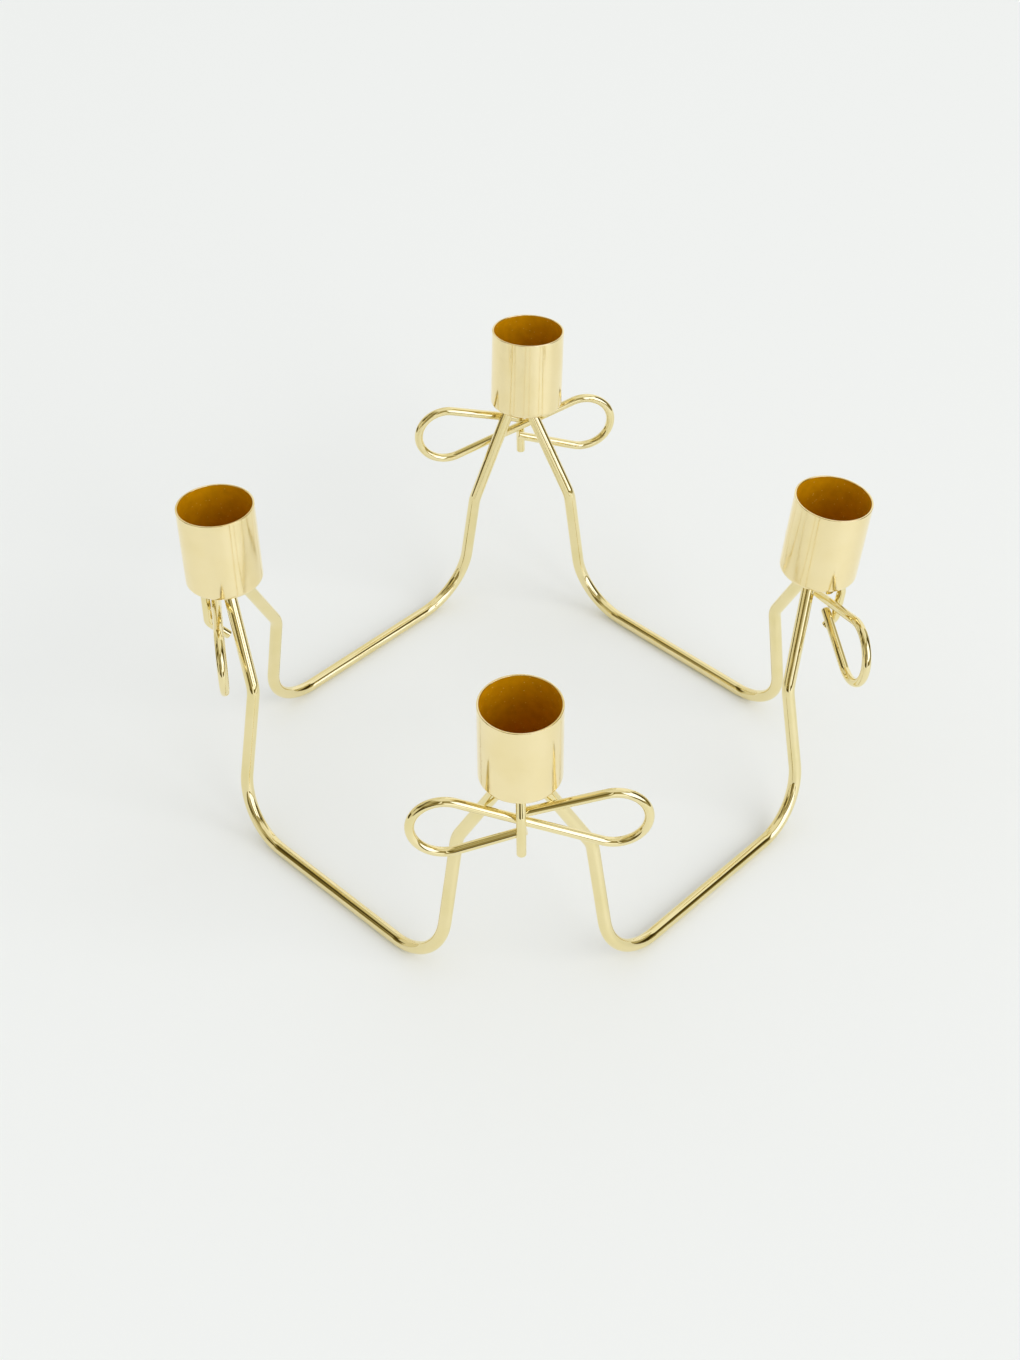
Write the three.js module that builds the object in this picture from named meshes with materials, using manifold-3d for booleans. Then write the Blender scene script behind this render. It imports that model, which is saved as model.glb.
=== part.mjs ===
// Four-light candelabra: four sheet-metal candle cups on a square of bent wire, each with a wire bow.
// Millimetres, +Z up. The origin is on the table, at the centre of the part's outer box.
import * as THREE from "three";
import { mergeVertices } from "three/addons/utils/BufferGeometryUtils.js";
import Module from "manifold-3d";

const wasm = await Module();
wasm.setup();

// Candle cups
const CUP_OUTER_DIAMETER = 24.2;
const CUP_WALL = 0.6;
const CUP_HEIGHT = 27.5;
const CUP_EDGE_RADIUS = 1.5; // outside, where the wall turns into the floor
const CUP_SPACING = 131; // between neighbouring cups, axis to axis
const CUP_UNDERSIDE_HEIGHT = 84.5;

// Side wires: one U per side, bent flat, then leant in at the top
const SIDE_WIRE_DIAMETER = 4.1;
const ARM_END_ALONG = 2.4; // where an arm meets the cup: from the corner towards the side's middle
const ARM_END_OUT = 1.4; // the same point, outwards across the side
const ARM_SPREAD = 16.7; // from the foot of an arm to its end, along the side
const FOOT_BEND_RADIUS = 19;
const SHOULDER_BEND_RADIUS = 10;

// Bows: one wire per bow, laid as a flat S with two round loops
const BOW_WIRE_DIAMETER = 2.9;
const BOW_BELOW_CUP = 2.25; // from a cup's underside down to the top of the bow's large loop
const LARGE_LOOP = { reach: 26.8, rise: 0.6, radius: 9.7 }; // centre of the loop from the knot
const SMALL_LOOP = { reach: 21.7, rise: -0.9, radius: 9.9 };
const LARGE_LOOP_END = { reach: 1.2, rise: 4 }; // free end beside the knot, over the crossing strand
const SMALL_LOOP_END = { reach: -1.6, rise: -3.2 }; // free end just past the knot, under that strand

// Knot pins: one short bent wire that holds each bow under its cup. Heights are from the bow's middle.
const PIN_TOP_OUT = 0.1; // outwards from the plane of the bow
const PIN_UPPER_BEND_HEIGHT = 5;
const PIN_LOWER_BEND_HEIGHT = -5.3;
const PIN_BEND_RADIUS = 3;

// Room left for the weld between two pieces
const WELD_GAP = 0.3;

// The corners, anticlockwise from above, each set a little differently by hand. A cup stands out and
// along from its corner, leans outwards and tilts clockwise. A bow hangs out from its corner, turned
// and leant with its pin, whose tip ends out from the plane of the bow and up from its middle.
const CORNERS = [
  {
    name: "front_right",
    azimuthDeg: -45,
    cup: { out: -0.4, along: 0, leanDeg: 1.5, tiltDeg: -0.5 },
    bow: { out: 5, rise: 0.8, turnDeg: 2.4, leanDeg: 0, tip: { out: 2.9, up: -10 } },
  },
  {
    name: "back_right",
    azimuthDeg: 45,
    cup: { out: -0.4, along: -0.3, leanDeg: 6.3, tiltDeg: -1.2 },
    bow: { out: 4.4, rise: 0, turnDeg: 15, leanDeg: 6, tip: { out: 0.4, up: -9 } },
  },
  {
    name: "back_left",
    azimuthDeg: 135,
    cup: { out: 0.5, along: -1.5, leanDeg: 6, tiltDeg: 1.8 },
    bow: { out: 6.4, rise: 0, turnDeg: 11.2, leanDeg: 0, tip: { out: 2.9, up: -12 } },
  },
  {
    name: "front_left",
    azimuthDeg: -135,
    cup: { out: -0.4, along: 3.1, leanDeg: 1.4, tiltDeg: 3.2 },
    bow: { out: 3.8, rise: 0, turnDeg: 9.1, leanDeg: 0, tip: { out: -2.8, up: -11.5 } },
  },
];

// The sides, each bent by hand too. The legs and the run are shifted along the side while the arms
// end under the cups all the same, and the whole wire is turned a little about the middle of the side.
// Without the bend, leg and arm would meet at the shoulder, this far below the cups.
const SIDES = [
  { name: "front", azimuthDeg: 0, turnDeg: 0.1, leanDeg: 11.2, shift: 0.1, shoulderDrop: 32 },
  { name: "right", azimuthDeg: 90, turnDeg: 2, leanDeg: 10.4, shift: 0.6, shoulderDrop: 34.5 },
  { name: "back", azimuthDeg: 180, turnDeg: 0.6, leanDeg: 8.5, shift: 1.6, shoulderDrop: 32.5 },
  { name: "left", azimuthDeg: -90, turnDeg: 1.1, leanDeg: 10.4, shift: -4.6, shoulderDrop: 37.5 },
];

// How finely round shapes are cut
const CUP_SEGMENTS = 40;
const SIDE_WIRE_SIDES = 16;
const THIN_WIRE_SIDES = 12;
const BEND_STEP_DEG = 12;
const LOOP_STEP_DEG = 15;

const rad = THREE.MathUtils.degToRad;

// Solids

function solidOf(geometry) {
  const bare = geometry.clone();
  bare.deleteAttribute("normal");
  bare.deleteAttribute("uv");
  const merged = mergeVertices(bare, 1e-4);
  return new wasm.Manifold(
    new wasm.Mesh({
      numProp: 3,
      vertProperties: new Float32Array(merged.attributes.position.array),
      triVerts: new Uint32Array(merged.index.array),
    }),
  );
}

function geometryOf(solid) {
  const mesh = solid.getMesh();
  const geometry = new THREE.BufferGeometry();
  geometry.setAttribute("position", new THREE.BufferAttribute(mesh.vertProperties, 3));
  geometry.setIndex(new THREE.BufferAttribute(mesh.triVerts, 1));
  geometry.computeVertexNormals();
  return geometry;
}

// Wire shapes, each drawn flat in its own XY plane

// A centre line with one station per ring of the sweep, so that straight runs need no rings between.
class WirePath extends THREE.Curve {
  constructor(stations) {
    super();
    this.stations = stations;
    this.steps = stations.length - 1;
  }
  getPointAt(u, target = new THREE.Vector3()) {
    return target.copy(this.stations[Math.round(u * this.steps)].point);
  }
  getTangentAt(u, target = new THREE.Vector3()) {
    return target.copy(this.stations[Math.round(u * this.steps)].tangent);
  }
}

function arcStations({ centre, radius, from, to, stepDeg }) {
  const steps = Math.ceil(Math.abs(to - from) / rad(stepDeg));
  const way = Math.sign(to - from);
  return Array.from({ length: steps + 1 }, (_, i) => {
    const angle = from + ((to - from) * i) / steps;
    const out = new THREE.Vector3(Math.cos(angle), Math.sin(angle), 0);
    return {
      point: new THREE.Vector3(centre.x, centre.y, 0).addScaledVector(out, radius),
      tangent: new THREE.Vector3(-way * out.y, way * out.x, 0),
    };
  });
}

// From a start point through arcs to an end point, with a straight run between each two.
function wirePath(start, arcs, end) {
  const bends = arcs.flatMap(arcStations);
  const at = (p) => new THREE.Vector3(p.x, p.y, 0);
  const first = bends[0];
  const last = bends[bends.length - 1];
  return new WirePath([
    { point: at(start), tangent: first.tangent },
    ...bends,
    { point: at(end), tangent: last.tangent },
  ]);
}

// The arc that rounds the corner of a bent wire.
function bendAt(before, corner, after, radius) {
  const back = before.clone().sub(corner).normalize();
  const ahead = after.clone().sub(corner).normalize();
  const turn = Math.atan2(ahead.cross(back), -ahead.dot(back));
  const way = Math.sign(turn);
  const half = Math.abs(turn) / 2;
  const middle = back.clone().add(ahead).normalize();
  const centre = corner.clone().addScaledVector(middle, radius / Math.cos(half));
  const toCorner = Math.atan2(-middle.y, -middle.x);
  return {
    centre,
    radius,
    from: toCorner - way * half,
    to: toCorner + way * half,
    stepDeg: BEND_STEP_DEG,
  };
}

function bentWirePath(corners, radii) {
  const arcs = radii.map((radius, i) => bendAt(corners[i], corners[i + 1], corners[i + 2], radius));
  return wirePath(corners[0], arcs, corners[corners.length - 1]);
}

// A regular polygon for the wire's section, with the middle of one flat at the given angle.
function wireSection(diameter, sides, flatAngle) {
  const corners = Array.from({ length: sides }, (_, i) => {
    const angle = flatAngle + ((i + 0.5) * 2 * Math.PI) / sides;
    return new THREE.Vector2(Math.cos(angle), Math.sin(angle)).multiplyScalar(diameter / 2);
  });
  return new THREE.Shape(corners);
}

function wireAlong(path, diameter, sides, flatAngle = 0) {
  return new THREE.ExtrudeGeometry(wireSection(diameter, sides, flatAngle), {
    steps: path.steps,
    bevelEnabled: false,
    extrudePath: path,
  });
}

// Frames

// Of a corner: X outwards, Y along the bow, Z up, from the table under the cup.
function cornerFrame(corner) {
  const turn = new THREE.Matrix4().makeRotationZ(rad(corner.azimuthDeg));
  return turn.multiply(new THREE.Matrix4().makeTranslation(CUP_SPACING / Math.SQRT2, 0, 0));
}

// Of a cup: the corner's frame at the middle of the cup's underside, leant and tilted with the cup.
function cupFrame(corner) {
  const { out, along, leanDeg, tiltDeg } = corner.cup;
  return cornerFrame(corner)
    .multiply(new THREE.Matrix4().makeTranslation(out, along, CUP_UNDERSIDE_HEIGHT))
    .multiply(new THREE.Matrix4().makeRotationY(rad(leanDeg)))
    .multiply(new THREE.Matrix4().makeRotationX(rad(tiltDeg)));
}

// The middle of a bow lies this far below its cup's underside.
function bowDrop(corner) {
  const loopTop = LARGE_LOOP.rise + LARGE_LOOP.radius + BOW_WIRE_DIAMETER / 2;
  return BOW_BELOW_CUP + loopTop - corner.bow.rise;
}

// Of a bow: the corner's frame at the middle of the bow, leant and turned with bow and pin.
function bowFrame(corner) {
  const { out, turnDeg, leanDeg } = corner.bow;
  return cornerFrame(corner)
    .multiply(new THREE.Matrix4().makeTranslation(out, 0, CUP_UNDERSIDE_HEIGHT - bowDrop(corner)))
    .multiply(new THREE.Matrix4().makeRotationY(rad(leanDeg)))
    .multiply(new THREE.Matrix4().makeRotationZ(rad(turnDeg)));
}

// Takes off what would reach into a cup, so that each wire ends flush under it with room for the weld.
function cutUnderCups(geometry, corners) {
  let solid = solidOf(geometry);
  for (const corner of corners) {
    const block = new THREE.BoxGeometry(CUP_OUTER_DIAMETER, CUP_OUTER_DIAMETER, CUP_HEIGHT);
    block.translate(0, 0, CUP_HEIGHT / 2 - WELD_GAP).applyMatrix4(cupFrame(corner));
    solid = solid.subtract(solidOf(block));
  }
  return geometryOf(solid);
}

// Pieces

const brass = new THREE.MeshStandardMaterial({ color: 0xe3d08a, metalness: 1, roughness: 0.25 });

function named(name, geometry) {
  const mesh = new THREE.Mesh(geometry, brass);
  mesh.name = name;
  return mesh;
}

// Drawn from one sheet: closed flat floor, rounded bottom edge, rounded rim.
function candleCup(corner) {
  const radius = CUP_OUTER_DIAMETER / 2;
  const inner = radius - CUP_WALL;
  const edge = CUP_EDGE_RADIUS;
  const profile = new THREE.Path();
  profile.moveTo(0, 0);
  profile.lineTo(radius - edge, 0);
  profile.absarc(radius - edge, edge, edge, -Math.PI / 2, 0, false);
  profile.lineTo(radius, CUP_HEIGHT - CUP_WALL / 2);
  profile.absarc(radius - CUP_WALL / 2, CUP_HEIGHT - CUP_WALL / 2, CUP_WALL / 2, 0, Math.PI, false);
  profile.lineTo(inner, edge);
  profile.absarc(radius - edge, edge, edge - CUP_WALL, 0, -Math.PI / 2, true);
  profile.lineTo(0, CUP_WALL);
  const geometry = new THREE.LatheGeometry(profile.getPoints(2), CUP_SEGMENTS);
  geometry.rotateX(Math.PI / 2).applyMatrix4(cupFrame(corner));
  return named("candle_cup_" + corner.name, geometry);
}

// A U in one plane: a run on the table, two legs, and an arm on each leg that spreads to the cup.
function sideWire(side, corners) {
  const lean = rad(side.leanDeg);
  const axisHeight = (SIDE_WIRE_DIAMETER / 2) * Math.cos(Math.PI / SIDE_WIRE_SIDES);
  const meet = (CUP_UNDERSIDE_HEIGHT - axisHeight) / Math.cos(lean);
  const shoulder = meet - side.shoulderDrop / Math.cos(lean);
  const armEnd = CUP_SPACING / 2 - ARM_END_ALONG;
  const leg = armEnd - ARM_SPREAD;
  const endsOut = CUP_SPACING / 2 + ARM_END_OUT;
  // Each arm runs on past the cup's underside, to be cut flush.
  const onwards = (meet + SIDE_WIRE_DIAMETER - shoulder) / (meet - shoulder);
  const arms = [-1, 1].map((way) => {
    const foot = new THREE.Vector2(way * leg + side.shift, shoulder);
    const end = new THREE.Vector2(way * armEnd, meet);
    return { foot, top: foot.clone().lerp(end, onwards) };
  });
  const path = bentWirePath(
    [
      arms[0].top,
      arms[0].foot,
      new THREE.Vector2(arms[0].foot.x, 0),
      new THREE.Vector2(arms[1].foot.x, 0),
      arms[1].foot,
      arms[1].top,
    ],
    [SHOULDER_BEND_RADIUS, FOOT_BEND_RADIUS, FOOT_BEND_RADIUS, SHOULDER_BEND_RADIUS],
  );
  // The flat that lies on the table faces straight down once the wire leans.
  const geometry = wireAlong(path, SIDE_WIRE_DIAMETER, SIDE_WIRE_SIDES, lean - Math.PI / 2);
  geometry
    .rotateX(Math.PI / 2 - lean)
    .translate(0, -meet * Math.sin(lean), axisHeight)
    .rotateZ(rad(side.turnDeg))
    .translate(0, -endsOut, 0)
    .rotateZ(rad(side.azimuthDeg));
  return named("side_wire_" + side.name, cutUnderCups(geometry, corners));
}

// Where a line from a point touches a circle, as an angle on the circle.
function tangentAngle(circle, point, side) {
  const away = point.clone().sub(circle.centre);
  return away.angle() + side * Math.acos(circle.radius / away.length());
}

// The same angle, moved by whole turns until it lies ahead of the other in the given direction.
function ahead(angle, other, way) {
  const turn = 2 * Math.PI;
  return other + way * THREE.MathUtils.euclideanModulo(way * (angle - other), turn);
}

function loopCircle(loop, way) {
  return { centre: new THREE.Vector2(way * loop.reach, loop.rise), radius: loop.radius };
}

// Out along the large loop, back through the knot, round the small loop and back to the knot.
function bow(corner) {
  const large = loopCircle(LARGE_LOOP, 1);
  const small = loopCircle(SMALL_LOOP, -1);
  const start = new THREE.Vector2(LARGE_LOOP_END.reach, LARGE_LOOP_END.rise);
  const end = new THREE.Vector2(-SMALL_LOOP_END.reach, SMALL_LOOP_END.rise);
  const across = small.centre.clone().sub(large.centre);
  const crossing = across.angle() + Math.acos((large.radius + small.radius) / across.length());
  const largeFrom = tangentAngle(large, start, -1);
  const smallFrom = crossing + Math.PI;
  const arcs = [
    { ...large, from: largeFrom, to: ahead(crossing, largeFrom, -1), stepDeg: LOOP_STEP_DEG },
    {
      ...small,
      from: smallFrom,
      to: ahead(tangentAngle(small, end, -1), smallFrom, 1),
      stepDeg: LOOP_STEP_DEG,
    },
  ];
  const geometry = wireAlong(wirePath(start, arcs, end), BOW_WIRE_DIAMETER, THIN_WIRE_SIDES);
  const upright = new THREE.Matrix4().makeBasis(
    new THREE.Vector3(0, 1, 0),
    new THREE.Vector3(0, 0, 1),
    new THREE.Vector3(1, 0, 0),
  );
  geometry.applyMatrix4(upright).applyMatrix4(bowFrame(corner));
  return named("bow_" + corner.name, geometry);
}

// From under the cup out round the middle of the bow, and on down below it.
function knotPin(corner) {
  const round = BOW_WIRE_DIAMETER + WELD_GAP;
  const tip = corner.bow.tip;
  const path = bentWirePath(
    [
      new THREE.Vector2(PIN_TOP_OUT, bowDrop(corner) + BOW_WIRE_DIAMETER),
      new THREE.Vector2(round, PIN_UPPER_BEND_HEIGHT),
      new THREE.Vector2(round, PIN_LOWER_BEND_HEIGHT),
      new THREE.Vector2(tip.out, tip.up),
    ],
    [PIN_BEND_RADIUS, PIN_BEND_RADIUS],
  );
  const geometry = wireAlong(path, BOW_WIRE_DIAMETER, THIN_WIRE_SIDES);
  geometry.rotateX(Math.PI / 2).applyMatrix4(bowFrame(corner));
  return named("knot_pin_" + corner.name, cutUnderCups(geometry, [corner]));
}

// Assembly

function candelabra() {
  const group = new THREE.Group();
  group.name = "candelabra";
  group.add(
    ...CORNERS.map(candleCup),
    ...SIDES.map((side) => sideWire(side, CORNERS)),
    ...CORNERS.map(bow),
    ...CORNERS.map(knotPin),
  );
  return group;
}

// Moves the part so that the middle of its outer box stands over the origin, and its feet at zero.
function centreOverOrigin(group) {
  const box = new THREE.Box3().setFromObject(group, true);
  const middle = box.getCenter(new THREE.Vector3());
  for (const mesh of group.children) mesh.geometry.translate(-middle.x, -middle.y, -box.min.z);
  return group;
}

export default centreOverOrigin(candelabra());
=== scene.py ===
# A four-light candelabra of bent brass-plated wire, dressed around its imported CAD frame.
# Pieces are modelled in millimetres and placed in metres, in the frame's own axes.
from math import acos, atan2, cos, pi, radians, sin, sqrt, tan

import bpy
from mathutils import Matrix, Vector


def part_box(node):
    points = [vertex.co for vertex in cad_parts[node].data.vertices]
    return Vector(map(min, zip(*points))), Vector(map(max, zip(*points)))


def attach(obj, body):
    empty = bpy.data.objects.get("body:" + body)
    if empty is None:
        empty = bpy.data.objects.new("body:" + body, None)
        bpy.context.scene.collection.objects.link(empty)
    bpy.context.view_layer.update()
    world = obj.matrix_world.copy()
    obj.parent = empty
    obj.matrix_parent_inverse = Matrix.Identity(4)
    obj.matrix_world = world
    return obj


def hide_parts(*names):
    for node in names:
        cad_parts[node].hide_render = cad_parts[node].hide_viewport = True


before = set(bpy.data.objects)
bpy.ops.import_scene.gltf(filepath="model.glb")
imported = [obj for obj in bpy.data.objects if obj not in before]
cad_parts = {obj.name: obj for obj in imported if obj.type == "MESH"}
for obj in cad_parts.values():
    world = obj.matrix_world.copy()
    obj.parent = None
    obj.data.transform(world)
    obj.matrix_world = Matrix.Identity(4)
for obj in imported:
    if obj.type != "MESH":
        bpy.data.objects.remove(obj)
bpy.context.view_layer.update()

MM = 0.001

# Candle cups
CUP_DIAMETER = 24.2
CUP_WALL = 0.6
CUP_HEIGHT = 27.5
CUP_EDGE_RADIUS = 1.5
CUP_SPACING = 131.0
CUP_UNDERSIDE = 84.5
CUP_FACETS = 128
RIM_ROUNDING = CUP_WALL * 0.3
FLOOR_BORDER = 0.3  # of a narrow ring round the flat floor and underside
SOFT_EDGE = 40  # degrees between faces up to which cups and side wires shade smoothly

# Side wires: one U on each side, flat in a plane that leans in at the top
SKIN = 0.01  # how far round wire stays inside the frame's faceted wire
SIDE_WIRE = 4.1
SIDE_WIRE_AXIS = SIDE_WIRE / 2 - SKIN  # above the table
ARM_END_ALONG = 2.4
ARM_END_OUT = 1.4
ARM_SPREAD = 16.7
FOOT_BEND = 19.0
SHOULDER_BEND = 10.0
SIDE_WIRE_FACETS = 40
SIDE_WIRE_STEP = 3.0  # degrees of a bend from one ring of the wire to the next
WELD_HEIGHT = 0.9  # of the weld's flare between a wire and its cup
WELD_FLARE = ((0.5, 1.1), (0.3, 1.1), (0.1, 1.09))  # each a share of that height, and how much it widens

# Bows: a flat S with two loops, and the bent pin that holds it
THIN_WIRE = 2.9
THIN_WIRE_FACETS = 32
THIN_WIRE_STEP = 4.0
THIN_SOFT_EDGE = 50
BOW_BELOW_CUP = 2.25
LARGE_LOOP = {"reach": 26.8, "rise": 0.6, "radius": 9.7}
SMALL_LOOP = {"reach": -21.7, "rise": -0.9, "radius": 9.9}
BOW_START = Vector((1.2, 4.0))
BOW_END = Vector((1.6, -3.2))
WELD_GAP = 0.3
PIN_TOP_OUT = 0.1  # outwards from the plane of the bow
PIN_UPPER_BEND = 5.0  # up from the middle of the bow, as the next
PIN_LOWER_BEND = -5.3
PIN_BEND = 3.0  # radius
CUT_BURR = 0.35  # how much the plating rounds a cut wire end
CLOSE = 0.05  # within this a point lies on a given ring or level
CAP_CORNERS = 8  # only a flat end or floor has more corners than this
MERGE = 0.001  # doubles nearer than this become one point

# The corners, each set a little differently by hand: way out from the middle in degrees; the cup's
# step out, step along, lean and tilt; the bow's step out, rise, turn and lean; and the pin's tip, out
# from the plane of the bow and up from its middle
CORNERS = {
    "front_right": {
        "azimuth": -45, "cup": (-0.4, 0.0, 1.5, -0.5), "bow": (5.0, 0.8, 2.4, 0.0), "tip": (2.9, -10.0),
    },
    "back_right": {
        "azimuth": 45, "cup": (-0.4, -0.3, 6.3, -1.2), "bow": (4.4, 0.0, 15.0, 6.0), "tip": (0.4, -9.0),
    },
    "back_left": {
        "azimuth": 135, "cup": (0.5, -1.5, 6.0, 1.8), "bow": (6.4, 0.0, 11.2, 0.0), "tip": (2.9, -12.0),
    },
    "front_left": {
        "azimuth": -135, "cup": (-0.4, 3.1, 1.4, 3.2), "bow": (3.8, 0.0, 9.1, 0.0), "tip": (-2.8, -11.5),
    },
}
# The sides: way round in degrees, turn, lean, shift of legs and run, drop from the cups to the shoulders
SIDES = {
    "front": (0, 0.1, 11.2, 0.1, 32.0),
    "right": (90, 2.0, 10.4, 0.6, 34.5),
    "back": (180, 0.6, 8.5, 1.6, 32.5),
    "left": (-90, 1.1, 10.4, -4.6, 37.5),
}

# The photograph's camera: place from the middle of the square in millimetres, angles in degrees,
# focal length in pixels
CAMERA_PLACE = (390.2, -383.3, 516.4)
CAMERA_TURN = 45.93
CAMERA_DIP = 41.08
CAMERA_ROLL = -0.90
FOCAL_PIXELS = 2231.7
PHOTO_WIDTH = 1020  # pixels
SENSOR = 36.0
CAMERA_REACH = 100.0  # metres that the camera sees


# Places

def rotation(degrees, axis):
    return Matrix.Rotation(radians(degrees), 4, axis)


def corner_frame(corner):
    """X outwards, Y along the bow, Z up, from the table under the cup; the square's middle is at zero."""
    return rotation(corner["azimuth"], "Z") @ Matrix.Translation((CUP_SPACING / sqrt(2), 0, 0))


def cup_frame(corner):
    """The corner's frame at the middle of the cup's underside, leant and tilted with the cup."""
    out, along, lean, tilt = corner["cup"]
    seat = Matrix.Translation((out, along, CUP_UNDERSIDE))
    return corner_frame(corner) @ seat @ rotation(lean, "Y") @ rotation(tilt, "X")


def bow_drop(corner):
    """How far the middle of a bow lies below its cup's underside."""
    return BOW_BELOW_CUP + LARGE_LOOP["rise"] + LARGE_LOOP["radius"] + THIN_WIRE / 2 - corner["bow"][1]


def bow_frame(corner):
    """The corner's frame at the middle of the bow, leant and turned with bow and pin."""
    out, _, turn, lean = corner["bow"]
    middle = Matrix.Translation((out, 0, CUP_UNDERSIDE - bow_drop(corner)))
    return corner_frame(corner) @ middle @ rotation(lean, "Y") @ rotation(turn, "Z")


# Modelling by hand

def object_mode():
    if bpy.context.object and bpy.context.object.mode != "OBJECT":
        bpy.ops.object.mode_set(mode="OBJECT")


def only(piece):
    object_mode()
    bpy.ops.object.select_all(action="DESELECT")
    piece.select_set(True)
    bpy.context.view_layer.objects.active = piece


def select(piece, wanted, kind="FACE"):
    """In edit mode, leaves selected only the faces or edges that are wanted."""
    bpy.ops.mesh.select_mode(type=kind)
    bpy.ops.mesh.select_all(action="DESELECT")
    object_mode()
    mesh = piece.data
    for part in mesh.polygons if kind == "FACE" else mesh.edges:
        part.select = wanted(part)
    bpy.ops.object.mode_set(mode="EDIT")


def smooth(piece, degrees):
    """Smooth shading in which long flat faces keep their own normals, so that mirrors stay straight."""
    only(piece)
    bpy.ops.object.shade_smooth_by_angle(angle=radians(degrees))
    bpy.ops.object.modifier_add(type="WEIGHTED_NORMAL")
    weighted = piece.modifiers[-1]
    weighted.keep_sharp = True
    bpy.ops.object.modifier_apply(modifier=weighted.name)


def is_cap(face):
    """Whether a face is the flat end of a wire, or a cup's flat floor or underside."""
    return len(face.vertices) > CAP_CORNERS


def edge_ends(piece, edge):
    return [piece.data.vertices[i].co for i in edge.vertices]


def move(piece, placing):
    """Puts a move into the piece's mesh, so that the object itself stays at the origin."""
    only(piece)
    piece.matrix_world = placing @ piece.matrix_world
    bpy.ops.object.transform_apply(location=True, rotation=True, scale=True)
    return piece


def copy_of(piece, name):
    twin = piece.copy()
    twin.data = piece.data.copy()
    twin.name = name
    bpy.context.collection.objects.link(twin)
    return twin


def dress(piece, node, slot, *materials):
    """Moves a finished piece into the frame, gives it its materials, hangs it under the root and hides the
    node's part.
    """
    move(piece, Matrix.Scale(MM, 4) @ to_frame)
    for material in materials:
        piece.data.materials.append(material)
    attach(piece, "root")
    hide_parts(node)


# Wires, bent in their own XY plane as on a jig

def pull(length, heading):
    step = (length * cos(heading), length * sin(heading), 0)
    bpy.ops.mesh.extrude_region_move(TRANSFORM_OT_translate={"value": step})
    return Vector(step)


def bend(at, heading, radius, angle, steps):
    """Bends the wire's end round a former, to the left for a positive angle."""
    side = heading + (pi / 2 if angle > 0 else -pi / 2)
    centre = at + Vector((cos(side), sin(side), 0)) * radius
    bpy.ops.mesh.spin(steps=steps, angle=-angle, center=centre, axis=(0, 0, 1), use_auto_merge=False)
    return centre + Matrix.Rotation(angle, 3, "Z") @ (at - centre)


def bent_wire(name, diameter, sides, start, heading, route, degrees_per_step):
    """route is a list of lengths to pull and of (radius, angle) bends."""
    at = Vector((start[0], start[1], 0))
    bpy.ops.object.select_all(action="DESELECT")
    bpy.ops.mesh.primitive_circle_add(
        vertices=sides, radius=diameter / 2, fill_type="NGON", location=at, rotation=(0, pi / 2, heading)
    )
    wire = bpy.context.object
    wire.name = name
    bpy.ops.object.transform_apply(location=True, rotation=True, scale=True)
    bpy.ops.object.mode_set(mode="EDIT")
    bpy.ops.mesh.select_mode(type="FACE")
    bpy.ops.mesh.select_all(action="SELECT")
    for stretch in route:
        if isinstance(stretch, tuple):
            radius, angle = stretch
            steps = max(2, round(abs(angle) / radians(degrees_per_step)))
            at = bend(at, heading, radius, angle, steps)
            heading += angle
        else:
            at = at + pull(stretch, heading)
    bpy.ops.mesh.select_all(action="SELECT")
    bpy.ops.mesh.remove_doubles(threshold=MERGE)
    bpy.ops.mesh.normals_make_consistent(inside=False)
    object_mode()
    return wire


def bent_through(name, diameter, sides, points, radii, degrees_per_step):
    """A wire through the points, with a bend of its own radius at each point but the ends."""
    legs = [b - a for a, b in zip(points, points[1:])]
    headings = [atan2(leg.y, leg.x) for leg in legs]
    turns = [(b - a + pi) % (2 * pi) - pi for a, b in zip(headings, headings[1:])]
    cuts = [radius * tan(abs(turn) / 2) for radius, turn in zip(radii, turns)]
    route = []
    for i, leg in enumerate(legs):
        route.append(leg.length - sum(cuts[max(i - 1, 0):i + 1]))
        route.extend([(radii[i], turns[i])] if i < len(turns) and turns[i] else [])
    return bent_wire(name, diameter, sides, points[0], headings[0], route, degrees_per_step)


def round_ends(wire, burr):
    """Softens the rims of the cut ends, as plating does."""
    only(wire)
    bpy.ops.object.mode_set(mode="EDIT")
    rims = {key for face in wire.data.polygons if is_cap(face) for key in face.edge_keys}
    select(wire, lambda edge: edge.key in rims, "EDGE")
    bpy.ops.mesh.bevel(offset=burr, offset_type="OFFSET", segments=4, affect="EDGES")
    object_mode()


# Materials

# A spread holds the two values of a noise between which the pattern goes from one end to the other.
TINT_SIZE = 9.0  # millimetres across the clouds of slightly deeper gold
TINT_SPREAD = (0.4, 0.7)
HAZE_SIZE = 2.5  # millimetres across the hazier patches
HAZE_SPREAD = (0.3, 0.7)
HAZE_RANGE = (0.8, 1.3)  # how clear and how hazy they are, as shares of the roughness
INSIDE_SHADE_CLOUD = 3.0  # millimetres across the lighter and darker patches of the painted shade inside the cups
INSIDE_SHADE_SPREAD = (0.35, 0.65)
SPECK_SPACING = 1.6  # millimetres from speck to speck
SPECK_EDGE = (0.14, 0.08)  # where a speck begins and is full, as shares of that
# Painted shade: the dark amber of the cups' insides stands in for the shade and brass-on-brass reflections
# in the hollow
INSIDE_SHADE_COLOURS = ("#D99D04", "#CD9203")
SPECK_COLOUR = "#EBC860"


def linear(code):
    def channel(value):
        return value / 12.92 if value <= 0.04045 else ((value + 0.055) / 1.055) ** 2.4
    return tuple(channel(int(code[i:i + 2], 16) / 255) for i in (1, 3, 5)) + (1.0,)


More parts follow.
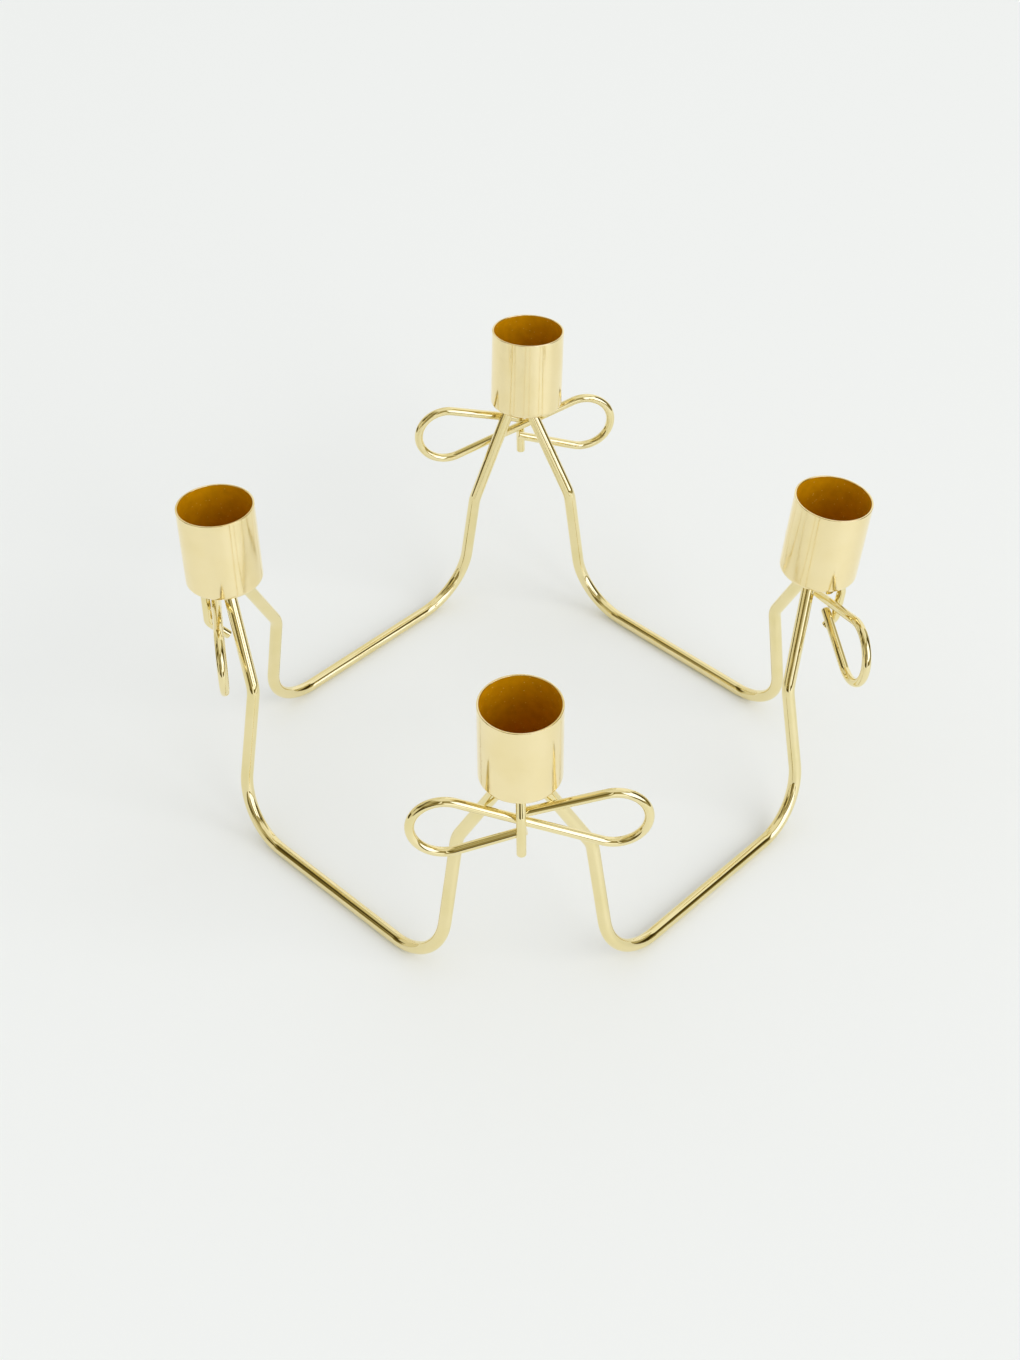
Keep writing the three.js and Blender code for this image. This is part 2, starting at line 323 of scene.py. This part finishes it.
def add(tree, kind, inputs=(), **settings):
    """Adds a node with its settings; inputs holds (socket, value or the socket that feeds it).

    Where sockets share a name they are numbered. Mix takes its factor at 0, numbers at 2 and 3 and
    colours at 6 and 7, and gives a colour at 2; Map Range takes its input's range at 1 and 2 and its
    output's at 3 and 4."""
    node = tree.nodes.new(kind)
    for name, value in settings.items():
        setattr(node, name, value)
    for socket, value in inputs:
        if isinstance(value, bpy.types.NodeSocket):
            tree.links.new(value, node.inputs[socket])
        else:
            node.inputs[socket].default_value = value
    return node


def empty_material(name):
    material = bpy.data.materials.new(name)
    material.use_nodes = True
    material.node_tree.nodes.clear()
    return material


def plated_brass(name, colours, roughness, wave, grain, draw=1.0):
    """Brass plating: a mirror of pale gold, with the slow waves and fine grain of the metal under it.

    wave and grain are each a size and a height in millimetres; draw is how many times longer the grain
    is upwards than across."""
    material = empty_material(name)
    tree = material.node_tree
    at = add(tree, "ShaderNodeTexCoord").outputs["Object"]
    tint = add(
        tree, "ShaderNodeTexNoise", [("Vector", at), ("Scale", 1 / (TINT_SIZE * MM)), ("Detail", 3.0)],
    )
    low, high = TINT_SPREAD
    shade = add(tree, "ShaderNodeMapRange", [("Value", tint.outputs["Fac"]), (1, low), (2, high)])
    paint = add(
        tree, "ShaderNodeMix",
        [(0, shade.outputs["Result"]), (6, linear(colours[0])), (7, linear(colours[1]))], data_type="RGBA",
    )
    haze = add(
        tree, "ShaderNodeTexNoise", [("Vector", at), ("Scale", 1 / (HAZE_SIZE * MM)), ("Detail", 4.0)],
    )
    low, high = HAZE_SPREAD
    clear, hazy = (roughness * share for share in HAZE_RANGE)
    rough = add(
        tree, "ShaderNodeMapRange",
        [("Value", haze.outputs["Fac"]), (1, low), (2, high), (3, clear), (4, hazy)],
    )
    wave_size, wave_height = wave
    waves = add(
        tree, "ShaderNodeTexNoise", [("Vector", at), ("Scale", 1 / (wave_size * MM)), ("Detail", 1.0)],
    )
    waved = add(
        tree, "ShaderNodeBump",
        [("Strength", 1.0), ("Distance", wave_height * MM), ("Height", waves.outputs["Fac"])],
    )
    drawn = add(tree, "ShaderNodeVectorMath", [(0, at), (1, (1, 1, 1 / draw))], operation="MULTIPLY")
    grain_size, grain_height = grain
    grains = add(
        tree, "ShaderNodeTexNoise",
        [("Vector", drawn.outputs[0]), ("Scale", 1 / (grain_size * MM)), ("Detail", 2.0)],
    )
    grained = add(
        tree, "ShaderNodeBump",
        [("Strength", 1.0), ("Distance", grain_height * MM), ("Height", grains.outputs["Fac"]),
         ("Normal", waved.outputs["Normal"])],
    )
    surface = add(
        tree, "ShaderNodeBsdfPrincipled",
        [("Base Color", paint.outputs[2]), ("Metallic", 1.0), ("Roughness", rough.outputs["Result"]),
         ("Normal", grained.outputs["Normal"])],
    )
    add(tree, "ShaderNodeOutputMaterial", [("Surface", surface.outputs["BSDF"])])
    return material


# Polished plating over drawn wire: a clean mirror whose streaks run along the wire.
wire_plating = plated_brass(
    "brass_plated_drawn_wire", ("#F5E7B3", "#F1E3AA"), roughness=0.03, wave=(6.0, 0.02),
    grain=(0.35, 0.0002),
)
# The same plating over drawn sheet: the sheet's grain blurs the mirror a little, most of all sideways.
cup_plating = plated_brass(
    "brass_plated_drawn_sheet", ("#FCECBA", "#F9E8B2"), roughness=0.13, wave=(7.0, 0.02),
    grain=(0.3, 0.0012), draw=30.0,
)
# The same plating over the sheet's cut edge: an uneven mirror, so the rim glints and darkens by turns.
rim_plating = plated_brass(
    "brass_plated_cut_edge", ("#FCECBA", "#E8D08C"), roughness=0.1, wave=(1.6, 0.06), grain=(0.5, 0.01),
)


def painted_inside_shade():
    """Painted shade inside the cups: a dark amber that stands in for the shade and the brass-on-brass
    reflections in their hollows. It is rough, so the eye sees no mirror but an even, warm brown that
    lightens where light falls in, with small bright specks."""
    material = empty_material("amber_painted_shade_cup_inside")
    tree = material.node_tree
    at = add(tree, "ShaderNodeTexCoord").outputs["Object"]
    cloud = add(
        tree, "ShaderNodeTexNoise", [("Vector", at), ("Scale", 1 / (INSIDE_SHADE_CLOUD * MM)), ("Detail", 5.0)],
    )
    low, high = INSIDE_SHADE_SPREAD
    shade = add(tree, "ShaderNodeMapRange", [("Value", cloud.outputs["Fac"]), (1, low), (2, high)])
    light, deep = (linear(colour) for colour in INSIDE_SHADE_COLOURS)
    paint = add(
        tree, "ShaderNodeMix", [(0, shade.outputs["Result"]), (6, light), (7, deep)], data_type="RGBA",
    )
    dots = add(tree, "ShaderNodeTexVoronoi", [("Vector", at), ("Scale", 1 / (SPECK_SPACING * MM))])
    start, full = SPECK_EDGE
    speck = add(tree, "ShaderNodeMapRange", [("Value", dots.outputs["Distance"]), (1, start), (2, full)])
    specked = add(
        tree, "ShaderNodeMix",
        [(0, speck.outputs["Result"]), (6, paint.outputs[2]), (7, linear(SPECK_COLOUR))], data_type="RGBA",
    )
    surface = add(
        tree, "ShaderNodeBsdfPrincipled",
        [("Base Color", specked.outputs[2]), ("Metallic", 0.4), ("Roughness", 0.6),
         ("Specular IOR Level", 0.05)],
    )
    add(tree, "ShaderNodeOutputMaterial", [("Surface", surface.outputs["BSDF"])])
    return material


# Painted shade for the inside of the cups
inside_shade = painted_inside_shade()


# Pieces

def cup_master():
    """One cup, upright over the origin: a drum hollowed from the top, then rounded at its edges."""
    bpy.ops.object.select_all(action="DESELECT")
    radius = CUP_DIAMETER / 2
    bpy.ops.mesh.primitive_cylinder_add(
        vertices=CUP_FACETS, radius=radius, depth=CUP_HEIGHT, location=(0, 0, CUP_HEIGHT / 2)
    )
    cup = bpy.context.object
    bpy.ops.object.transform_apply(location=True, rotation=True, scale=True)
    bpy.ops.object.mode_set(mode="EDIT")
    select(cup, lambda face: face.normal.z > 0.9)
    bpy.ops.mesh.inset(thickness=CUP_WALL, depth=0)
    bpy.ops.mesh.extrude_region_move(TRANSFORM_OT_translate={"value": (0, 0, CUP_WALL - CUP_HEIGHT)})

    def ring(height, reach):
        def wanted(edge):
            ends = edge_ends(cup, edge)
            flat = all(abs(end.z - height) < CLOSE for end in ends)
            return flat and all(abs(end.xy.length - reach) < CLOSE for end in ends)
        return wanted

    inner = radius - CUP_WALL
    for height, reach, offset, segments in (
        (0, radius, CUP_EDGE_RADIUS, 8),
        (CUP_WALL, inner, CUP_EDGE_RADIUS - CUP_WALL, 6),
        (CUP_HEIGHT, radius, RIM_ROUNDING, 4),
        (CUP_HEIGHT, inner, RIM_ROUNDING, 4),
    ):
        select(cup, ring(height, reach), "EDGE")
        bpy.ops.mesh.bevel(offset=offset, offset_type="OFFSET", segments=segments, affect="EDGES")
    # The flat floor and underside get a ring of their own, so that they shade flat.
    select(cup, is_cap)
    bpy.ops.mesh.inset(thickness=FLOOR_BORDER, depth=0, use_individual=True)
    smooth(cup, SOFT_EDGE)
    return cup


def paint_inside(cup):
    """The inner wall and floor take the second material, the rim takes the third."""
    inner = CUP_DIAMETER / 2 - CUP_WALL
    for face in cup.data.polygons:
        inside = face.center.z > CUP_WALL / 2 and face.center.xy.length < inner + CLOSE
        rim = face.center.z > CUP_HEIGHT - RIM_ROUNDING
        face.material_index = 2 if rim else 1 if inside else 0


def side_wire(name, side):
    """A U bent in its own plane, along X and up Y, then stood up, leant in and turned to its side."""
    azimuth, turn, lean, shift, shoulder_drop = side
    meet = (CUP_UNDERSIDE - SIDE_WIRE_AXIS) / cos(radians(lean))
    shoulder = meet - shoulder_drop / cos(radians(lean))
    arm_end = CUP_SPACING / 2 - ARM_END_ALONG
    leg = arm_end - ARM_SPREAD
    onwards = (meet + SIDE_WIRE - shoulder) / (meet - shoulder)  # past the cup's underside, to be cut
    left, right = (Vector((way * leg + shift, shoulder)) for way in (-1, 1))
    left_top = left.lerp(Vector((-arm_end, meet)), onwards)
    right_top = right.lerp(Vector((arm_end, meet)), onwards)
    points = [left_top, left, Vector((left.x, 0)), Vector((right.x, 0)), right, right_top]
    radii = [SHOULDER_BEND, FOOT_BEND, FOOT_BEND, SHOULDER_BEND]
    wire = bent_through(name, 2 * SIDE_WIRE_AXIS, SIDE_WIRE_FACETS, points, radii, SIDE_WIRE_STEP)
    upright = Matrix.Translation((0, -meet * sin(radians(lean)), SIDE_WIRE_AXIS)) @ rotation(90 - lean, "X")
    ends_out = Matrix.Translation((0, -CUP_SPACING / 2 - ARM_END_OUT, 0))
    return move(wire, rotation(azimuth, "Z") @ ends_out @ rotation(turn, "Z") @ upright)


def weld_under(wire, cup_place):
    """Cuts a wire flush under a cup and flares it there into its weld."""
    up = (cup_place.to_3x3() @ Vector((0, 0, 1))).normalized()
    seat = cup_place.translation
    only(wire)
    bpy.ops.object.mode_set(mode="EDIT")

    def near(face):
        return (face.center - seat).xy.length < CUP_DIAMETER and face.center.z > CUP_UNDERSIDE / 2

    def cut(face):
        level = (face.center - seat).dot(up) + WELD_HEIGHT
        return is_cap(face) and near(face) and abs(level) < CLOSE

    select(wire, near)
    bpy.ops.mesh.bisect(
        plane_co=seat - up * WELD_HEIGHT, plane_no=up, use_fill=True, clear_outer=True, threshold=0.0001
    )
    select(wire, cut)
    centre = next(face.center.copy() for face in wire.data.polygons if cut(face))
    for rise, flare in WELD_FLARE:
        bpy.ops.mesh.extrude_region_move(TRANSFORM_OT_translate={"value": up * WELD_HEIGHT * rise})
        bpy.ops.transform.resize(value=(flare, flare, 1.0), center_override=centre)
    object_mode()


def tangent_angle(centre, radius, point, side):
    """Where a line from the point touches the circle, as an angle on the circle."""
    away = point - centre
    return atan2(away.y, away.x) + side * acos(radius / away.length)


def ahead(angle, other, way):
    return other + way * ((way * (angle - other)) % (2 * pi))


def bow_master():
    """One bow in its own plane: out round the large loop, back through the knot, round the small one."""
    large = Vector((LARGE_LOOP["reach"], LARGE_LOOP["rise"]))
    small = Vector((SMALL_LOOP["reach"], SMALL_LOOP["rise"]))
    large_radius = LARGE_LOOP["radius"]
    small_radius = SMALL_LOOP["radius"]
    across = small - large
    crossing = atan2(across.y, across.x) + acos((large_radius + small_radius) / across.length)
    large_from = tangent_angle(large, large_radius, BOW_START, -1)
    large_turn = ahead(crossing, large_from, -1) - large_from
    small_from = crossing + pi
    small_turn = ahead(tangent_angle(small, small_radius, BOW_END, -1), small_from, 1) - small_from
    first = large + Vector((cos(large_from), sin(large_from))) * large_radius
    run_in = first - BOW_START
    span = sqrt(across.length ** 2 - (large_radius + small_radius) ** 2)
    last_angle = small_from + small_turn
    last = small + Vector((cos(last_angle), sin(last_angle))) * small_radius
    route = [
        run_in.length, (large_radius, large_turn), span, (small_radius, small_turn), (BOW_END - last).length,
    ]
    heading = atan2(run_in.y, run_in.x)
    diameter = THIN_WIRE - 2 * SKIN
    return bent_wire("bow_master", diameter, THIN_WIRE_FACETS, BOW_START, heading, route, THIN_WIRE_STEP)


def knot_pin(name, corner):
    """One knot pin in its own plane: X outwards, Y up, from the middle of the bow."""
    diameter = THIN_WIRE - 2 * SKIN
    out = THIN_WIRE + WELD_GAP
    points = [
        Vector((PIN_TOP_OUT, bow_drop(corner) + THIN_WIRE)), Vector((out, PIN_UPPER_BEND)),
        Vector((out, PIN_LOWER_BEND)), Vector(corner["tip"]),
    ]
    return bent_through(name, diameter, THIN_WIRE_FACETS, points, [PIN_BEND, PIN_BEND], THIN_WIRE_STEP)


def step_to(piece, node):
    """The frame stands centred by its outer box: how far it lies from a piece set about the square."""
    low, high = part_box(node)
    middle = sum((Vector(end) for end in piece.bound_box), Vector()) / 8
    step = (low + high) / 2 / MM - middle
    return Matrix.Translation((step.x, step.y, 0))


cup = cup_master()
paint_inside(cup)
cups = {name: move(copy_of(cup, "cup_" + name), cup_frame(corner)) for name, corner in CORNERS.items()}
bpy.data.objects.remove(cup)
to_frame = step_to(cups["front_right"], "candle_cup_front_right")
# Each cup takes plating outside, painted shade inside and plating on its rim
for name, piece in cups.items():
    dress(piece, "candle_cup_" + name, "cup_sheet", cup_plating, inside_shade, rim_plating)

for name, side in SIDES.items():
    piece = side_wire("wire_" + name, side)
    outward = rotation(side[0], "Z") @ Vector((0, -1, 0))
    for corner in CORNERS.values():
        if cup_frame(corner).translation.dot(outward) > 0:
            weld_under(piece, cup_frame(corner))
    smooth(piece, SOFT_EDGE)
    dress(piece, "side_wire_" + name, "side_wire", wire_plating)

upright = Matrix(((0, 0, 1, 0), (1, 0, 0, 0), (0, 1, 0, 0), (0, 0, 0, 1)))
bow = bow_master()
round_ends(bow, CUT_BURR)
smooth(bow, THIN_SOFT_EDGE)
for name, corner in CORNERS.items():
    piece = move(copy_of(bow, "bow_of_" + name), bow_frame(corner) @ upright)
    dress(piece, "bow_" + name, "thin_wire", wire_plating)
bpy.data.objects.remove(bow)

for name, corner in CORNERS.items():
    piece = knot_pin("pin_" + name, corner)
    round_ends(piece, CUT_BURR)
    move(piece, bow_frame(corner) @ rotation(90, "X"))
    weld_under(piece, cup_frame(corner))
    smooth(piece, THIN_SOFT_EDGE)
    dress(piece, "knot_pin_" + name, "thin_wire", wire_plating)


# Stage

TABLE_COLOUR = "#F6F8F7"  # of the table in the metal
FLOOR_COLOUR = "#F3F5F3"  # of the floor that the camera sees
BACKDROP_COLOUR = "#EFEFED"  # of what the camera sees past the floor
PHOTO_WAY = 45  # degrees from Y to the way the photograph looks
TABLE_SIZE = (0.6, 2.4)  # metres; the strip of pale table that the metal mirrors, long way backwards
TABLE_STEP = 0.9  # metres; its middle lies this far behind the candelabra, as the photograph looks
FLOOR_SIZE = (12.0, 12.0)  # metres; the floor that the camera sees
FLOOR_DROP = 0.00005  # metres below the table, so that the two don't touch
SOFT_LIGHT = 0.78  # brightness all round on matt surfaces, 1 for white
ROOM = 0.38  # brightness of the room in the metal, the same way
WARMTH = (0.93, 1.05, 1.6)  # powers of that brightness in red, green and blue: dark parts are brown
WINDOW_SEEN = 1.6  # brightness of the window in the metal, the same way
# What stands round the table, as the metal mirrors it, each over those before it: middle and half
# width in degrees about the vertical, lowest and highest elevation in degrees, brightness
PANELS = [
    (-158, 26, -90, 42, 0.68),
    (-96, 20, -1, 55, 0.32),
    (-60, 20, -1, 50, 0.26),
    (-138, 20, -25, -1, 0.06),
    (-69, 19, -25, -1, 0.07),
    (-119, 5, -1, 20, 0.78),
    (-103, 15, -25, 20, 0.72),
    (-79, 7, -1, 20, 0.07),
    (-116, 8, 20, 40, 0.06),
    (-88, 12, 20, 45, 0.5),
    (-54, 12, 20, 45, 0.12),
    (-48, 2, 8, 52, 1.0),
    (-33, 9, 10, 50, 0.34),
    (-34, 9, -25, 10, 1.1),
    (-12, 14, -25, 1, 0.12),
    (0, 180, 60, 90, 0.85),
    (-105, 35, 54, 70, 0.42),
    (-129, 6, 8, 32, 0.12),
    (-140, 8, 18, 50, 0.05),
    (-150, 10, 40, 55, 0.05),
    (6, 27.5, 1, 48, WINDOW_SEEN),
    (70, 24, 46, 66, 0.97),
    (40, 5, 12, 46, 0.08),
    (55, 12, 7, 44, 0.03),
    (53, 13, -25, 7, 0.1),
    (78, 11, 6, 46, 0.42),
    (111, 23, -90, 60, 0.97),
    (157, 23, -90, 60, 0.8),
    (152, 8, 46, 56, 0.5),
]
PANEL_EDGE = 1.5  # degrees over which a panel's edge fades
# The window as a lamp: degrees about the vertical and up, then metres, and watts
WINDOW_AZIMUTH = 6.0
WINDOW_HEIGHT = 25.0
WINDOW_DISTANCE = 12.0
WINDOW_SIZE = (11.7, 9.7)
WINDOW_POWER = 840.0


def pale_floor(name, size, height, step, in_metal, paint):
    """A floor that only metal mirrors, or one that all but metal sees."""
    bpy.ops.object.select_all(action="DESELECT")
    place = rotation(PHOTO_WAY, "Z") @ Vector((0, step, height))
    bpy.ops.mesh.primitive_plane_add(size=1, location=place, rotation=(0, 0, radians(PHOTO_WAY)))
    floor = bpy.context.object
    floor.scale = (*size, 1)
    floor.name = name
    floor.visible_glossy = in_metal
    floor.visible_camera = floor.visible_diffuse = floor.visible_shadow = not in_metal
    floor.data.materials.append(paint)


def white_paint(name, colour, roughness, gloss):
    """White paint over board; gloss is its specular level."""
    material = empty_material(name)
    tree = material.node_tree
    surface = add(
        tree, "ShaderNodeBsdfPrincipled",
        [("Base Color", linear(colour)), ("Roughness", roughness), ("Specular IOR Level", gloss)],
    )
    add(tree, "ShaderNodeOutputMaterial", [("Surface", surface.outputs["BSDF"])])
    return material


def studio_world():
    """White to the camera, even to matt surfaces, and a room with a window and panels to the metal."""
    world = bpy.data.worlds.new("studio")
    bpy.context.scene.world = world
    world.use_nodes = True
    tree = world.node_tree
    tree.nodes.clear()
    ray = add(tree, "ShaderNodeLightPath")
    way = add(tree, "ShaderNodeTexCoord").outputs["Generated"]
    height = add(tree, "ShaderNodeSeparateXYZ", [("Vector", way)]).outputs["Z"]
    level_way = add(tree, "ShaderNodeVectorMath", [(0, way), (1, (1, 1, 0))], operation="MULTIPLY")
    level = add(tree, "ShaderNodeVectorMath", [(0, level_way.outputs[0])], operation="NORMALIZE")
    compass = level.outputs[0]

    def fading(trig, angle, inwards):
        """Where an edge starts to fade in and where it is full, as a sine or cosine."""
        return [trig(radians(angle + way * inwards * PANEL_EDGE)) for way in (-1, 1)]

    seen = ROOM
    for azimuth, half_width, low, high, brightness in PANELS:
        towards = (cos(radians(azimuth)), sin(radians(azimuth)), 0)
        near = add(tree, "ShaderNodeVectorMath", [(0, compass), (1, towards)], operation="DOT_PRODUCT")
        edges = []
        if low > -90:
            edges.append((height, fading(sin, low, 1)))
        if high < 90:
            edges.append((height, fading(sin, high, -1)))
        if half_width < 180:
            edges.append((near.outputs["Value"], fading(cos, half_width, -1)))
        mask = 1.0
        for measure, (start, full) in edges:
            fade = add(tree, "ShaderNodeMapRange", [("Value", measure), (1, start), (2, full)])
            faded = fade.outputs["Result"]
            mask = add(tree, "ShaderNodeMath", [(0, mask), (1, faded)], operation="MULTIPLY").outputs[0]
        seen = add(tree, "ShaderNodeMix", [(0, mask), (2, seen), (3, brightness)]).outputs[0]
    warm = [add(tree, "ShaderNodeMath", [(0, seen), (1, power)], operation="POWER") for power in WARMTH]
    room = add(tree, "ShaderNodeCombineColor", [(i, node.outputs[0]) for i, node in enumerate(warm)])
    soft = (SOFT_LIGHT, SOFT_LIGHT, SOFT_LIGHT, 1)
    lit = add(
        tree, "ShaderNodeMix",
        [(0, ray.outputs["Is Glossy Ray"]), (6, soft), (7, room.outputs[0])], data_type="RGBA",
    )
    shown = add(
        tree, "ShaderNodeMix",
        [(0, ray.outputs["Is Camera Ray"]), (6, lit.outputs[2]), (7, linear(BACKDROP_COLOUR))],
        data_type="RGBA",
    )
    light = add(tree, "ShaderNodeBackground", [("Color", shown.outputs[2]), ("Strength", 1.0)])
    add(tree, "ShaderNodeOutputWorld", [("Surface", light.outputs["Background"])])


def window_light():
    """The window for matt surfaces; metal mirrors the window among the panels, of about that size."""
    lamp = bpy.data.lights.new("window", "AREA")
    lamp.shape = "RECTANGLE"
    lamp.size, lamp.size_y = WINDOW_SIZE
    lamp.energy = WINDOW_POWER
    light = bpy.data.objects.new("window", lamp)
    bpy.context.collection.objects.link(light)
    way = rotation(WINDOW_AZIMUTH, "Z") @ rotation(-WINDOW_HEIGHT, "Y") @ Vector((1, 0, 0))
    light.location = way * WINDOW_DISTANCE
    light.rotation_euler = way.to_track_quat("Z", "Y").to_euler()
    light.visible_glossy = False


def photo_camera():
    lens = bpy.data.cameras.new("photo_camera")
    lens.sensor_fit = "HORIZONTAL"
    lens.sensor_width = SENSOR
    lens.lens = SENSOR * FOCAL_PIXELS / PHOTO_WIDTH
    lens.clip_end = CAMERA_REACH
    camera = bpy.data.objects.new("photo_camera", lens)
    bpy.context.collection.objects.link(camera)
    aim = rotation(CAMERA_TURN, "Z") @ rotation(90 - CAMERA_DIP, "X") @ rotation(CAMERA_ROLL, "Z")
    camera.matrix_world = Matrix.Translation(to_frame @ Vector(CAMERA_PLACE) * MM) @ aim
    bpy.context.scene.camera = camera


# A satin coat glows a little towards the window, so that metal mirrors a livelier table.
satin = white_paint("satin_painted_table", TABLE_COLOUR, 0.45, 0.8)
# A matt coat shades evenly, so that nothing but the shadows shows on the floor.
matt = white_paint("matt_painted_floor", FLOOR_COLOUR, 1.0, 0.0)
pale_floor("table", TABLE_SIZE, 0.0, TABLE_STEP, True, satin)
pale_floor("backdrop", FLOOR_SIZE, -FLOOR_DROP, 0.0, False, matt)
studio_world()
window_light()
photo_camera()
bpy.context.scene.view_settings.view_transform = "Standard"
